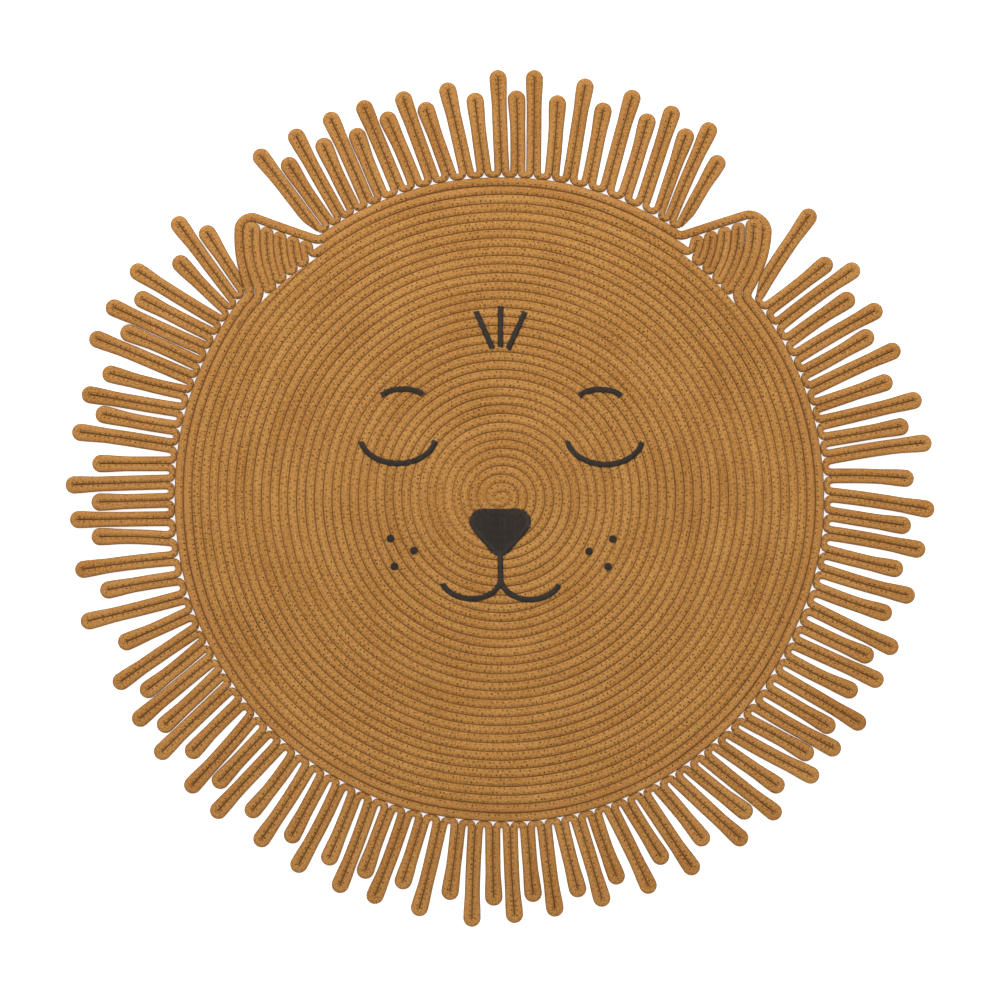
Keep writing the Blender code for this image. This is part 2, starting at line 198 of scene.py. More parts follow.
def round_section():
    """How far round the cord each of the section's points is from its back, in metres:
    negative on the left of the cord's way."""
    spots = [Vector(spot) for spot in SECTION]
    steps = [(after - before).length for before, after in zip(spots, spots[1:])]
    return [
        math.copysign(sum(steps[min(n, BACK_POINT) : max(n, BACK_POINT)]), n - BACK_POINT)
        for n in range(len(spots))
    ]


def with_more_rings(path):
    """The same path with a ring at least every RING_SPACING."""
    finer = [path[0]]
    for (place, half), (after, half_after) in zip(path, path[1:]):
        parts = max(1, math.ceil((after - place).length / RING_SPACING - 0.01))
        for part in range(1, parts + 1):
            share = part / parts
            finer.append((place.lerp(after, share), half + (half_after - half) * share))
    return finer


def mesh_of(curve, material):
    """The mesh that a curve makes, in one material. Its object is gone afterwards."""
    laid = bpy.data.objects.new(curve.name + "_path", curve)
    bpy.context.scene.collection.objects.link(laid)
    graph = bpy.context.evaluated_depsgraph_get()
    mesh = bpy.data.meshes.new_from_object(laid.evaluated_get(graph))
    bpy.data.objects.remove(laid)
    mesh.name = curve.name
    mesh.materials.clear()
    mesh.materials.append(material)
    return mesh


def put_down(name, mesh):
    piece = bpy.data.objects.new(name, mesh)
    bpy.context.scene.collection.objects.link(piece)
    return piece


def lay_cord(name, path, right_holes, material, seed):
    """A cord on the floor along a path of (place, half width). The cord attribute of its
    points says how far along and how far round the cord they are, in metres, and whether
    the right side has needle holes as the left side has."""
    curve = bpy.data.curves.new(name, "CURVE")
    curve.dimensions = "3D"
    curve.twist_mode = "Z_UP"
    curve.bevel_mode = "OBJECT"
    curve.bevel_object = section_guide
    curve.use_fill_caps = True
    spline = curve.splines.new("POLY")
    spline.points.add(len(path) - 1)
    along = [0.0]
    for (place, _), (after, _) in zip(path, path[1:]):
        along.append(along[-1] + (after - place).length)
    uneven = [
        THICKNESS_UNEVEN
        * smooth_step(0, EVEN_END, min(length, along[-1] - length))
        * noise.noise((length * THICKNESS_PER_METRE, seed, 0.5))
        for length in along
    ]
    for knot, (place, half), wave in zip(spline.points, path, uneven):
        knot.co = (place.x, place.y, 0, 1)
        knot.radius = half / CORD_HALF * (1 + min(0.0, wave))
    mesh = mesh_of(curve, material)
    count, around = len(SECTION), round_section()
    rings = [len(path) - 1, 0, *range(len(path))]  # the two caps come first
    laid_out = []
    for vert in mesh.vertices:
        ring, spot = rings[vert.index // count], vert.index % count
        high = smooth_step(-TAPERED_HALF / 2, TAPERED_HALF, path[ring][1])
        vert.co.z = SECTION[spot][1] * (1 + uneven[ring]) * high
        laid_out += [along[ring], around[spot], right_holes]
    places = mesh.attributes.new("cord", "FLOAT_VECTOR", "POINT")
    places.data.foreach_set("vector", laid_out)
    work = bmesh.new()
    work.from_mesh(mesh)
    bmesh.ops.remove_doubles(work, verts=work.verts, dist=1e-6)
    bmesh.ops.recalc_face_normals(work, faces=work.faces)
    for face in work.faces:
        face.smooth = len(face.verts) == 4  # the caps are triangles
    for edge in work.edges:
        edge.smooth = all(face.smooth for face in edge.link_faces)
    work.to_mesh(mesh)
    work.free()
    return put_down(name, mesh)


def from_hex(text):
    """A colour from its sRGB hex value, in linear light."""
    parts = [int(text[n : n + 2], 16) / 255 for n in (0, 2, 4)]
    linear = [c / 12.92 if c <= 0.04045 else ((c + 0.055) / 1.055) ** 2.4 for c in parts]
    return (*linear, 1.0)


def add_node(tree, kind, inputs=(), **settings):
    """Adds a node with its settings. An input is a value, or the socket that it is linked
    to. The node's first working output comes back."""
    node = tree.nodes.new("ShaderNode" + kind)
    for name, value in settings.items():
        setattr(node, name, value)
    for name, value in dict(inputs).items():
        if isinstance(value, bpy.types.NodeSocket):
            tree.links.new(value, node.inputs[name])
        else:
            node.inputs[name].default_value = value
    return next(output for output in node.outputs if output.enabled)


def cotton_cord():
    """Cotton yarn, dyed caramel and braided over a soft filling. It is matt, with a fine
    plait that catches the light, partly as painted light and shade, a little lighter and
    darker from turn to turn, and darkened by painted shade in the grooves. Thread of the same
    colour pulls the needle holes in, which have painted shade; the thread has a painted
    highlight."""
    material = bpy.data.materials.new("braided_cotton_cord")
    material.use_nodes = True
    tree = material.node_tree
    shader = tree.nodes["Principled BSDF"]
    cord_place = add_node(tree, "Attribute", attribute_name="cord").node.outputs["Vector"]
    along, around, right_holes = add_node(tree, "SeparateXYZ", {0: cord_place}).node.outputs
    rug_place = add_node(tree, "TexCoord").node.outputs["Object"]
    away = add_node(tree, "Math", {0: around}, operation="ABSOLUTE")
    side = add_node(tree, "Math", {0: around}, operation="SIGN")

    # Needle holes in two rows, one half a step behind the other, sunk in and darkened with
    # painted shade. Each hole has its own number, which puts it a little out of its place
    steps = add_node(tree, "Math", {0: along, 1: 1 / HOLE_SPACING}, operation="MULTIPLY")
    steps = add_node(
        tree, "Math", {0: side, 1: 0.25, 2: steps}, operation="MULTIPLY_ADD"
    )
    number = add_node(tree, "Math", {0: steps}, operation="FLOOR")
    number = add_node(tree, "Math", {0: side, 1: 0.37, 2: number}, operation="MULTIPLY_ADD")
    chances = add_node(tree, "TexWhiteNoise", {"W": number}, noise_dimensions="1D").node
    chance, chance_2, chance_3 = add_node(
        tree, "SeparateXYZ", {0: chances.outputs["Color"]}
    ).node.outputs
    step = add_node(tree, "Math", {0: steps}, operation="FRACT")
    shifted = add_node(
        tree,
        "Math",
        {0: chance, 1: HOLE_WANDER, 2: -0.5 - HOLE_WANDER / 2},
        operation="MULTIPLY_ADD",
    )
    step = add_node(tree, "Math", {0: step, 1: shifted}, operation="ADD")
    off_along = add_node(tree, "Math", {0: step, 1: HOLE_SPACING}, operation="MULTIPLY")
    row = add_node(
        tree,
        "Math",
        {0: chance_2, 1: HOLE_ROW_WANDER, 2: HOLE_ROW - HOLE_ROW_WANDER / 2},
        operation="MULTIPLY_ADD",
    )
    off_round = add_node(tree, "Math", {0: away, 1: row}, operation="SUBTRACT")
    off = add_node(tree, "CombineXYZ", {0: off_along, 1: off_round})
    off = add_node(tree, "VectorMath", {0: off}, operation="LENGTH")
    hole = add_node(
        tree,
        "MapRange",
        {0: off, 1: HOLE_ROUND, 2: HOLE_ROUND + HOLE_FADE, 3: 1.0, 4: 0.0},
        interpolation_type="SMOOTHSTEP",
    )
    left = add_node(tree, "Math", {0: side, 1: 0.0}, operation="LESS_THAN")
    sewn = add_node(tree, "Math", {0: left, 1: right_holes}, operation="MAXIMUM")
    strength = add_node(
        tree,
        "Math",
        {0: chance_3, 1: 1 - HOLE_FAINTEST, 2: HOLE_FAINTEST},
        operation="MULTIPLY_ADD",
    )
    for share in (strength, sewn):
        hole = add_node(tree, "Math", {0: hole, 1: share}, operation="MULTIPLY")

    # Zigzag thread, from each hole down both ways into the groove. It is the cord's own
    # colour, raised a little and lightened by a painted highlight
    off_along = add_node(tree, "Math", {0: off_along}, operation="ABSOLUTE")
    beside = add_node(
        tree, "Math", {0: off_round, 1: STITCH_SLANT}, operation="MULTIPLY"
    )
    beside = add_node(tree, "Math", {0: beside, 1: off_along}, operation="SUBTRACT")
    beside = add_node(tree, "Math", {0: beside}, operation="ABSOLUTE")
    thread = add_node(
        tree,
        "MapRange",
        {0: beside, 1: STITCH_HALF, 2: STITCH_HALF * 2, 3: 1.0, 4: 0.0},
        interpolation_type="SMOOTHSTEP",
    )
    outside = add_node(
        tree, "Math", {0: off_round, 1: STITCH_CLEAR}, operation="GREATER_THAN"
    )
    for share in (outside, sewn):
        thread = add_node(tree, "Math", {0: thread, 1: share}, operation="MULTIPLY")

    # The braid: slanting yarns that meet in columns of small Vs, raised a little, with
    # painted light and shade along them
    column = add_node(tree, "Math", {0: around, 1: 1 / PLAIT_WIDE}, operation="MULTIPLY")
    fold = add_node(tree, "Math", {0: column, 1: 1.0}, operation="PINGPONG")
    slanted = add_node(tree, "Math", {0: along, 1: 1 / PLAIT_LONG}, operation="MULTIPLY")
    slanted = add_node(
        tree, "Math", {0: fold, 1: PLAIT_SLANT, 2: slanted}, operation="MULTIPLY_ADD"
    )
    slanted = add_node(tree, "Math", {0: slanted, 1: math.tau}, operation="MULTIPLY")
    plait = add_node(tree, "Math", {0: slanted}, operation="SINE")
    fuzz = add_node(
        tree, "TexNoise", {"Vector": rug_place, "Scale": FUZZ_PER_METRE, "Detail": 2.0}
    )
    cloud = add_node(
        tree, "TexNoise", {"Vector": rug_place, "Scale": CLOUDS_PER_METRE, "Detail": 3.0}
    )
    dye = add_node(
        tree,
        "TexNoise",
        {"W": along, "Scale": DYE_PER_METRE, "Detail": 2.0},
        noise_dimensions="1D",
    )

    # Colour: the yarn, over it painted shade in the grooves, which is wider where a stitch
    # pulls in, then the thread's painted highlight and the holes' painted shade
    tone = CORD_TONE
    for pattern, contrast in ((fuzz, 2.2), (cloud, 0.4), (dye, 0.5), (plait, 0.16)):
        tone = add_node(
            tree, "Math", {0: pattern, 1: contrast, 2: tone}, operation="MULTIPLY_ADD"
        )
    # Painted shade toward the grooves: it starts nearer the back beside a hole and on the
    # left, seam side, and further out on the coil
    groove_shade_from = GROOVE_SHADE_FROM
    for where, shift in ((off_along, 0.35), (left, -0.0007), (right_holes, 0.0018)):
        groove_shade_from = add_node(
            tree, "Math", {0: where, 1: shift, 2: groove_shade_from}, operation="MULTIPLY_ADD"
        )
    depth = add_node(
        tree,
        "MapRange",
        {0: away, 1: groove_shade_from, 2: GROOVE_SHADE_TO, 3: 0.0, 4: GROOVE_SHADE_MOST},
        interpolation_type="SMOOTHSTEP",
    )
    stitch_highlight = add_node(tree, "Math", {0: thread, 1: STITCH_SHOWS}, operation="MULTIPLY")
    light = add_node(
        tree,
        "Mix",
        {0: right_holes, 6: from_hex(CORD_LIGHT), 7: from_hex(CORD_LIGHT_COIL)},
        data_type="RGBA",
    )
    colour = add_node(
        tree, "Mix", {0: tone, 6: from_hex(CORD_DARK), 7: light}, data_type="RGBA"
    )
    for share, over in ((depth, GROOVE_PAINTED_SHADE), (stitch_highlight, STITCH_PAINTED_HIGHLIGHT), (hole, HOLE_PAINTED_SHADE)):
        colour = add_node(
            tree, "Mix", {0: share, 6: colour, 7: from_hex(over)}, data_type="RGBA"
        )
    tree.links.new(colour, shader.inputs["Base Color"])

    # Relief in metres, and finish
    high = 0.0
    reliefs = ((plait, 0.00010), (fuzz, 0.00030), (thread, 0.00020), (hole, -0.00070))
    for pattern, relief in reliefs:
        high = add_node(
            tree, "Math", {0: pattern, 1: relief, 2: high}, operation="MULTIPLY_ADD"
        )
    bump = add_node(tree, "Bump", {"Height": high, "Strength": 1.0, "Distance": 1.0})
    tree.links.new(bump, shader.inputs["Normal"])
    rough = add_node(tree, "Math", {0: fuzz, 1: 0.12, 2: 0.84}, operation="MULTIPLY_ADD")
    tree.links.new(rough, shader.inputs["Roughness"])
    shader.inputs["Specular IOR Level"].default_value = 0.25
    shader.inputs["Sheen Weight"].default_value = 0.12
    shader.inputs["Sheen Roughness"].default_value = 0.6
    shader.inputs["Sheen Tint"].default_value = from_hex(LINT_SHEEN)
    return material


cotton = cotton_cord()


def coil_path():
    """From a thin end under the left ear, beside the next turn, inward to the middle, where
    the cord's start is folded across."""
    path, turns_in = [], 0.0
    for degrees in range(math.ceil(RISE_DEG[0]), int(COIL_END_DEG), RISE_STEP_DEG):
        edge = turn_radius(COIL_TURNS - LOOSE_TURNS, degrees) + CORD_HALF
        half = max(RISE_TIP_HALF, CORD_HALF * rise(degrees))
        path.append((hand_laid(polar(degrees, edge - half)), half))
    while True:
        radius = PITCH * (COIL_TURNS - LOOSE_TURNS - turns_in)
        pressed = 1 + MIDDLE_PRESSED * (1 - smooth_step(0, MIDDLE_PRESSED_TO, radius))
        half = CORD_HALF * pressed
        if radius < MIDDLE_RADIUS:
            return path + [(hand_laid(Vector(fold)), half) for fold in MIDDLE_FOLD]
        place = polar(COIL_END_DEG + 360 * turns_in, radius)
        path.append((hand_laid(place), half))
        step_deg = min(MOST_RING_DEG, math.degrees(RING_SPACING / radius))
        turns_in += step_deg / 360


coil = lay_cord("coil", coil_path(), 1.0, cotton, seed=1)
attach(coil, "root")
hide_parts("coil_disc")


# --- Outermost turn ---
# The coil's last turn, which leaves the rim at each ear and runs up, round the tip and back
# down as the ear's outline. Its end meets its start just outside the left ear.

EAR_BASE_DEG = {"right": (39.6, 55.7), "left": (140.6, 125.1)}  # outer and inner corner
EAR_TOP = {"right": (0.3045, 0.3310), "left": (-0.2995, 0.3272)}  # where the sides would meet
EAR_TIP_ROUND = {"right": 0.0150, "left": 0.0115}
EAR_BASE_ROUND = 0.0120
OUTER_LEAD_DEG = 2.5  # the rim is straight for this long beside an ear's outer corner
INNER_LEAD_DEG = 2.2  # and beside its inner corner
EAR_BOW = {"right": 0.0092, "left": 0.0062}  # how far the ear's outer side bows out
BOW_FADE = 1.2  # the bow lessens toward the inner corner by this much for a whole width
BOW_MARGIN = 0.002  # what is less than this outside the ear bows out too
ARC_STEP_DEG = 11.0  # the most that a rounded corner turns from one ring to the next
RIM_STEP_DEG = 1.5
FILL_DEEP = 0.0150  # the filling reaches this far in below the outline's corners
FILL_DEEP_AT = 0.045  # this far from the outer side and more


def meet_circle(point, way, radius):
    """Where a line that runs outward along way crosses a circle round the rug's middle."""
    along = point.dot(way)
    return point + way * (math.sqrt(along**2 - point.length_squared + radius**2) - along)


def meet_turn(point, way, turn):
    """Where a line that runs outward along way crosses a turn of the coil."""
    place = meet_circle(point, way, PITCH * turn)
    return meet_circle(point, way, turn_radius(turn, angle_of(place)))


def arc_centre(before, corner, after, radius):
    """The centre of the arc that rounds a corner."""
    back, ahead = (before - corner).normalized(), (after - corner).normalized()
    return corner + (back + ahead).normalized() * (radius / math.sin(back.angle(ahead) / 2))


def rounded(knots):
    """A cord's path as (place, half width), from knots of (place, half width, round). A
    knot with a round is a corner, and the width changes along its arc."""
    path = [knots[0][:2]]
    for (before, wide_in, _), (corner, wide, radius), (after, wide_out, _) in zip(
        knots, knots[1:], knots[2:]
    ):
        if not radius:
            path.append((corner, wide))
            continue
        centre = arc_centre(before, corner, after, radius)
        way_in, way_out = (corner - before).normalized(), (after - corner).normalized()
        first = before + way_in * (centre - before).dot(way_in) - centre
        turn = way_in.angle(way_out)
        parts = max(2, math.ceil(math.degrees(turn) / ARC_STEP_DEG))
        for part in range(parts + 1):
            share = part / parts
            place = first * math.cos(turn * share) + way_in * radius * math.sin(turn * share)
            path.append((centre + place, wide_in + (wide_out - wide_in) * share))
    path.append(knots[-1][:2])
    return path


def ear_corners(ear):
    """The corners of an ear's outline: on the outermost turn at the side away from the
    other ear, at the tip, and on the outermost turn at the side toward the other ear."""
    ends = [polar(at, turn_radius(COIL_TURNS, at)) for at in EAR_BASE_DEG[ear]]
    return ends[0], Vector(EAR_TOP[ear]), ends[1]


def ear_axes(ear):
    """The way up along the ear's outer side, and the way from that side toward the inner
    corner, with the length of both."""
    outer, top, inner = ear_corners(ear)
    up = top - outer
    across = inner - outer - up * (inner - outer).dot(up) / up.length_squared
    return up.normalized(), up.length, across.normalized(), across.length


def ear_outline(ear):
    """Knots of the outermost turn round an ear."""
    rounds = EAR_BASE_ROUND, EAR_TIP_ROUND[ear], EAR_BASE_ROUND
    return [(corner, CORD_HALF, radius) for corner, radius in zip(ear_corners(ear), rounds)]


def along_rim(turn, start, end):
    """Knots of a turn between two angles."""
    parts = math.ceil((end - start) / RIM_STEP_DEG)
    stops = [start + (end - start) * part / parts for part in range(parts + 1)]
    return [(polar(at, turn_radius(turn, at)), CORD_HALF, 0) for at in stops]


def bowed(place):
    """Where a place in an ear lies once the ear's outer side and all that is beside it
    have bowed out."""
    for ear in EAR_TOP:
        outer, _, inner = ear_corners(ear)
        up, high, across, wide = ear_axes(ear)
        beside = (place - outer).dot(across)
        left_over = 1 - beside / wide
        if not -BOW_MARGIN < beside < wide:
            continue
        deep = FILL_DEEP * smooth_step(0, FILL_DEEP_AT, beside)
        base = beside / wide * (inner - outer).dot(up) - deep
        share = ((place - outer).dot(up) - base) / (high * left_over + deep)
        if 0 < share < 1:
            bow = EAR_BOW[ear] * min(1.0, BOW_FADE * left_over) * math.sin(math.pi * share)
            return place - across * bow
    return place


def loose_turn(turn, ear_knots):
    """The path of one of the two outer turns, counterclockwise from where its ends meet."""
    right, left = ear_knots("right"), ear_knots("left")[::-1]
    enter_right, leave_right = (angle_of(right[n][0]) + 360 for n in (0, -1))
    enter_left, leave_left = (angle_of(left[n][0]) + 360 for n in (0, -1))
    knots = along_rim(turn, COIL_END_DEG + 1e-6, enter_right - OUTER_LEAD_DEG)
    knots += right
    knots += along_rim(turn, leave_right + INNER_LEAD_DEG, enter_left - INNER_LEAD_DEG)
    knots += left
    knots += along_rim(turn, leave_left + OUTER_LEAD_DEG, COIL_END_DEG + 360 - 1e-6)
    path = with_more_rings(rounded(knots))
    return [(hand_laid(bowed(place)), half) for place, half in path]


outline_path = loose_turn(COIL_TURNS, ear_outline)
ear_outlines = lay_cord("ear_outlines", outline_path, 0.0, cotton, seed=2)
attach(ear_outlines, "root")
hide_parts("ear_outlines_turn")


# --- Last turn but one ---
# The same cord one turn further in. At each ear it goes up beside the outline, fills the
# ear in tight hairpins that are sewn side by side, and goes back to the rim.

FILL_RUNS_WIDE = (0.0096, 0.0082, *[0.0069] * 8)  # from the outer side: squeezed together
FILL_PRESS = 0.00055  # each run is wider than its place by this on both sides
FILL_RISE_ROUND = 0.0190
FILL_EXIT_ROUND = 0.0046
FILL_TILT = 0.75  # how far the hairpins' ends lean to follow the outline and the coil
FILL_SQUARENESS = 2.9
FILL_ARC_POINTS = 11


def meet_line(point, way, other, other_way):
    return point + way * ((other - point).cross(other_way) / way.cross(other_way))


def bend(centre, side, out, points, squareness=2.0):
    """Places along a half turn, from centre + side, past centre + out, to centre - side."""
    places = []
    for number in range(points):
        angle = math.pi * number / (points - 1)
        across = math.copysign(abs(math.cos(angle)) ** (2 / squareness), math.cos(angle))
        up = abs(math.sin(angle)) ** (2 / squareness)
        places.append(centre + side * across + out * up)
    return places


def ear_filling(ear):
    """Knots of the last turn but one through an ear: up beside the outline, then back and
    forth between the outline and the coil, and out at the side toward the other ear."""
    outer, top, inner = ear_corners(ear)
    up, _, across, wide = ear_axes(ear)
    roof_way = (top - inner).normalized()
    inward = (outer - inner - roof_way * (outer - inner).dot(roof_way)).normalized()
    roof_slope = (inner - top).dot(up) / wide
    base_slope = (inner - outer).dot(up) / wide
    row = COIL_TURNS - 1
    edges = [CORD_HALF]
    for run_wide in FILL_RUNS_WIDE:
        edges.append(edges[-1] + run_wide)
    aside = [(one + other) / 2 for one, other in zip(edges, edges[1:])]
    halves = [run_wide / 2 + FILL_PRESS for run_wide in FILL_RUNS_WIDE]

    knots = [(meet_turn(outer + across * aside[0], up, row), CORD_HALF, FILL_RISE_ROUND)]
    for number in range(len(aside) - 1):
        radius = (aside[number + 1] - aside[number]) / 2
        middle = outer + across * (aside[number] + radius)
        half, half_after = halves[number : number + 2]
        clear = CORD_HALF + (half + half_after) / 2 - 2 * FILL_PRESS
        if number % 2 == 0:
            roof = inner + inward * (clear - radius * inward.dot(up))
            centre, out, slope = meet_line(middle, up, roof, roof_way), up, roof_slope
        else:
            at = angle_of(meet_circle(middle, up, PITCH * (COIL_TURNS - LOOSE_TURNS)))
            floor = turn_radius(COIL_TURNS - LOOSE_TURNS, at) + clear
            centre = meet_circle(middle, up, floor) + up * radius
            out, slope = -up, base_slope
        side = -(across + up * slope * FILL_TILT) * radius
        places = bend(centre, side, out * radius, FILL_ARC_POINTS, FILL_SQUARENESS)
        for step, place in enumerate(places):
            share = step / (FILL_ARC_POINTS - 1)
            knots.append((place, half + (half_after - half) * share, 0))
    last = outer + across * aside[-1]
    return knots + [(meet_turn(last, up, row), halves[-1], FILL_EXIT_ROUND)]


ear_fillings = lay_cord(
    "ear_fillings", loose_turn(COIL_TURNS - 1, ear_filling), 0.0, cotton, seed=3
)
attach(ear_fillings, "root")
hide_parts("ear_fillings_turn")


# --- Mane ---
# A second cord from ear to ear round the rug, and a third one between the ears. Each is
# looped in and out along the rim, long and short in turn, and each loop is sewn down its
# middle into a double strand.

STRAND_RUN = 0.0051  # from a double strand's middle to each of its two runs, as laid out
STRAND_HALF = 0.0047  # half the width of one run, as laid out
ROOT_SHARE = 0.91  # a strand is this much narrower at its root, or less where roots crowd
STRAND_GAP = 0.0004  # least space between two strands
CROWDED_RISE = 0.43  # from the rim to a crowded strand's root, as a share of the spacing
SHAFT_RUN = 0.00425  # from the seam to each run's middle below the tip
SHAFT_HALF = 0.00440
TIP_RUN = 0.0050
TIP_HALF = 0.0051
TIP_SWELL = 0.032  # the strand widens over this length
STRAND_BOW = 0.0009
BEND_SQUARENESS = 2.5
BEND_HALF = 0.0036  # in the middle of a bend, where the cord is pressed against the rim
BEND_CORNER_HALF = 0.0006  # added where the cord turns
BEND_GAP = -0.0002  # from the rim to the bends between strands, which press into it
LEAN_SHARE = 0.6  # each of two strands that touch leans away by this share of the overlap
LEAN_ROUNDS = 90  # this is done all along the mane this many times
TIP_ARC_POINTS = 10
BEND_ARC_POINTS = 11
LEAN_UNEVEN_DEG = 0.12
REACH_UNEVEN = 0.0010
CORD_END_RISE = 0.0050  # the mane cords' own ends stop this far above the rim
CORD_END_TAPER = 0.024

ROOTS_ROUND = (  # strand number, root_deg
    (1, 140.7),
    (3, 145.3),
    (4, 147.8),
    (6, 153.2),
    (9, 161.5),
    (16, 183.6),
    (20, 197.3),
    (22, 203.5),
    (26, 214.9),
    (31, 231.2),
    (41, 262.5),
    (46, 277.4),
    (52, 295.5),
    (60, 321.0),
    (65, 337.0),
    (74, 367.1),
    (81, 388.6),
    (84, 398.6),
)
ROOTS_TOP = (  # strand number, root_deg
    (1, 56.5),
    (3, 61.2),
    (8, 78.0),
    (10, 84.4),
    (12, 89.9),
    (19, 111.7),
    (22, 119.6),
    (24, 124.4),
)
LEAN_ROUND = (  # root_deg, lean_deg: how far the tips stand to the side of their roots
    (140.7, -2.6),
    (143, -3.4),
    (145.3, -1.4),
    (148, 0.3),
    (153, 0.7),
    (159, -0.2),
    (162, 1.1),
    (165, 1.3),
    (168, 0.4),
    (171, 0.2),
    (174, 0.9),
    (178, 1.0),
    (181, 0.0),
    (187, -1.6),
    (191, -0.6),
    (197, -0.8),
    (200, 0.4),
    (203, 2.3),
    (215, 2.0),
    (218, 1.2),
    (221, 1.5),
    (225, 0.3),
    (228, -0.2),
    (234, 0.6),
    (247, 0.6),
    (253, -0.6),
    (259, -0.8),
    (263, 0.4),
    (269, 0.6),
    (278, 0.1),
    (281, 0.8),
    (287, 0.6),
    (290, 1.5),
    (299, 1.9),
    (302, 3.3),
    (311, 2.2),
    (315, 3.8),
    (318, 2.6),
    (324, 0.4),
    (331, 0.6),
    (337, -0.2),
    (340, -1.3),
    (344, -0.2),
    (357, -1.0),
    (360, -2.0),
    (364, -0.9),
    (367, 0.4),
    (370, -0.2),
    (377, 0.4),
    (380, 1.3),
    (392, 0.8),
    (395, 0.1),
    (398.6, 3.8),
)
LEAN_TOP = (  # root_deg, lean_deg
    (56, 0.5),
    (59, 2.0),
    (62, 2.0),
    (68, 0.9),
    (78, 0.4),
    (84, 1.1),
    (90, 0.5),
    (96, 1.3),
    (99, 2.0),
    (102, 1.2),
    (105, 1.4),
    (109, 0.7),
    (112, 0.6),
    (114, -0.5),
    (120, -0.1),
    (122, 0.7),
    (125, 0.4),
)
REACH_ROUND = (  # root_deg, long strands' reach, short strands' reach from the middle
    (142, 0.492, 0.462),
    (148, 0.498, 0.464),
    (151, 0.501, 0.481),
    (156, 0.504, 0.475),
    (160, 0.503, 0.477),
    (165, 0.494, 0.475),
    (177, 0.498, 0.469),
    (184, 0.494, 0.469),
    (190, 0.494, 0.470),
    (197, 0.501, 0.471),
    (203, 0.492, 0.467),
    (212, 0.495, 0.473),
    (218, 0.493, 0.466),
    (228, 0.492, 0.466),
    (234, 0.486, 0.464),
    (243, 0.490, 0.465),
    (256, 0.486, 0.462),
    (266, 0.492, 0.467),
    (272, 0.486, 0.465),
    (283, 0.483, 0.465),
    (292, 0.484, 0.459),
    (305, 0.486, 0.464),
    (321, 0.485, 0.464),
    (327, 0.493, 0.466),
    (334, 0.486, 0.464),
    (354, 0.489, 0.468),
    (360, 0.494, 0.470),
    (367, 0.495, 0.474),
    (373, 0.494, 0.470),
    (379, 0.488, 0.465),
    (386, 0.486, 0.466),
    (398, 0.486, 0.466),
)
REACH_TOP = (  # root_deg, long strands' reach, short strands' reach from the middle
    (56, 0.492, 0.464),
    (61, 0.491, 0.474),
    (68, 0.491, 0.471),
    (76, 0.491, 0.467),
    (84, 0.490, 0.466),
    (90, 0.488, 0.465),
    (96, 0.478, 0.463),
    (102, 0.479, 0.460),
    (108, 0.481, 0.461),
    (112, 0.483, 0.456),
    (117, 0.485, 0.461),
    (125, 0.486, 0.462),
)


def interpolate(table, at, column=1):
    """A column's value between the rows of a table that is sorted by its first column."""
    for low, high in zip(table, table[1:]):
        if at <= high[0]:
            share = max(0.0, (at - low[0]) / (high[0] - low[0]))
            return low[column] + share * (high[column] - low[column])
    return table[-1][column]


def rim_radius(degrees):
    return turn_radius(COIL_TURNS, degrees) + CORD_HALF


class Strand:
    """One double strand of the mane, before the cord's path is laid through it."""

    def __init__(self, root_deg, spacing, lean_deg, reach):
        self.root_deg = root_deg
        self.spacing = spacing
        root_rise = min(2 * STRAND_HALF, CROWDED_RISE * spacing)
        self.root = polar(root_deg, rim_radius(root_deg) + root_rise)
        self.tip_radius = reach - STRAND_RUN - STRAND_HALF
        self.lean(lean_deg)

    def lean(self, degrees):
        self.lean_deg = degrees
        self.tip = polar(self.root_deg + degrees, self.tip_radius)
        self.way = (self.tip - self.root).normalized()
        self.left = Vector((-self.way.y, self.way.x))
        room = self.spacing * self.way.dot(self.root.normalized()) - STRAND_GAP
        squeeze = min(ROOT_SHARE, room / (2 * (STRAND_RUN + STRAND_HALF)))
        self.run, self.half = STRAND_RUN * squeeze, STRAND_HALF * squeeze

    def overlap(self, tip):
        """How far another strand's tip is inside this strand, with the least gap."""
        way = self.tip - self.root
        share = min(1.0, max(0.0, (tip - self.root).dot(way) / way.length_squared))
        tip_wide, root_wide = STRAND_RUN + STRAND_HALF, self.run + self.half
        wide = root_wide + (tip_wide - root_wide) * share
        return tip_wide + wide + STRAND_GAP - (tip - self.root - way * share).length

    def shaft(self, up):
        """How much of its full width the strand has this far up from its root."""
        crowded = self.half / (STRAND_HALF * ROOT_SHARE)
        share = min(1.0, max(0.0, up / (self.tip - self.root).length))
        return crowded + (1 - crowded) * share


def keep_apart(strands):
    """Leans neighbours away from each other until none overlap."""
    for _ in range(LEAN_ROUNDS):
        for one, other in zip(strands, strands[1:]):
            short_by = max(one.overlap(other.tip), other.overlap(one.tip))
            if short_by > 0:
                shift = math.degrees(short_by / one.tip_radius) * LEAN_SHARE
                one.lean(one.lean_deg - shift)
                other.lean(other.lean_deg + shift)


def mane_strands(roots, leans, reaches, seed):
    uneven = random.Random(seed)
    root_degs = [interpolate(roots, n) for n in range(1, roots[-1][0] + 1)]
    strands = []
    for number, root_deg in enumerate(root_degs):
        beside = root_degs[max(number - 1, 0) : number + 2]
        step = min(after - before for before, after in zip(beside, beside[1:]))
        spacing = math.radians(step) * (rim_radius(root_deg) + 2 * STRAND_HALF)
        lean = interpolate(leans, root_deg) + uneven.uniform(-1, 1) * LEAN_UNEVEN_DEG
        reach = interpolate(reaches, root_deg, 1 if number % 2 else 2)
        reach += uneven.uniform(-1, 1) * REACH_UNEVEN
        strands.append(Strand(root_deg, spacing, lean, reach))
    keep_apart(strands)
    return strands


